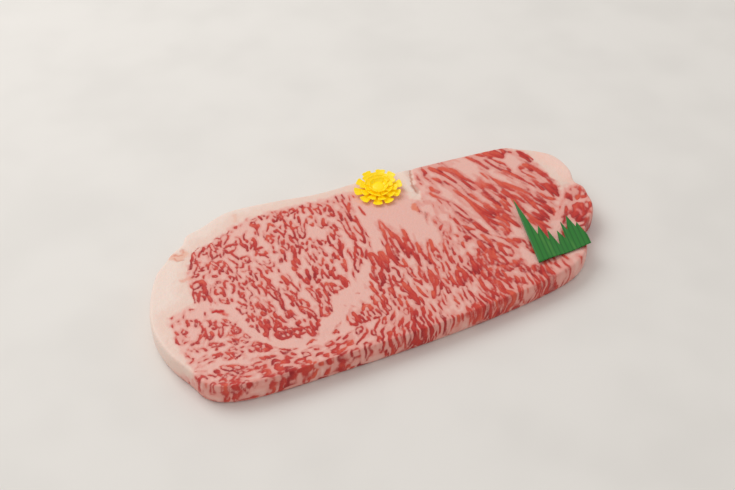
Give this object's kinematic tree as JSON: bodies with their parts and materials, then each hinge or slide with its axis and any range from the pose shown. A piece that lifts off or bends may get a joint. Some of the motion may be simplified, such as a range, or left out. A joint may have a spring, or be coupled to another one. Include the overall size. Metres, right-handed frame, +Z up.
{
  "type": "raw wagyu sirloin steak",
  "caption": "Raw marbled sirloin steak lying flat, with a fat cap along one edge, a small plastic chrysanthemum and a cut plastic leaf laid on it.",
  "frame": {"origin": "on the board under the middle of the steak's box, where its underside rests", "axes": "+X along the steak's length, towards the small tail muscle; +Y towards the fat cap; +Z up, out of the cut face that shows"},
  "size_m": [0.2412, 0.1138, 0.0203],
  "materials": {
    "marbled_beef": "raw beef, red flecks in pale pink fat, moist",
    "yellow_plastic": "satin moulded",
    "green_plastic": "ribbed film, light gloss"
  },
  "bodies": {
    "root": {"steak": "marbled_beef", "flower": "yellow_plastic", "leaf": "green_plastic"}
  },
  "joints": []
}
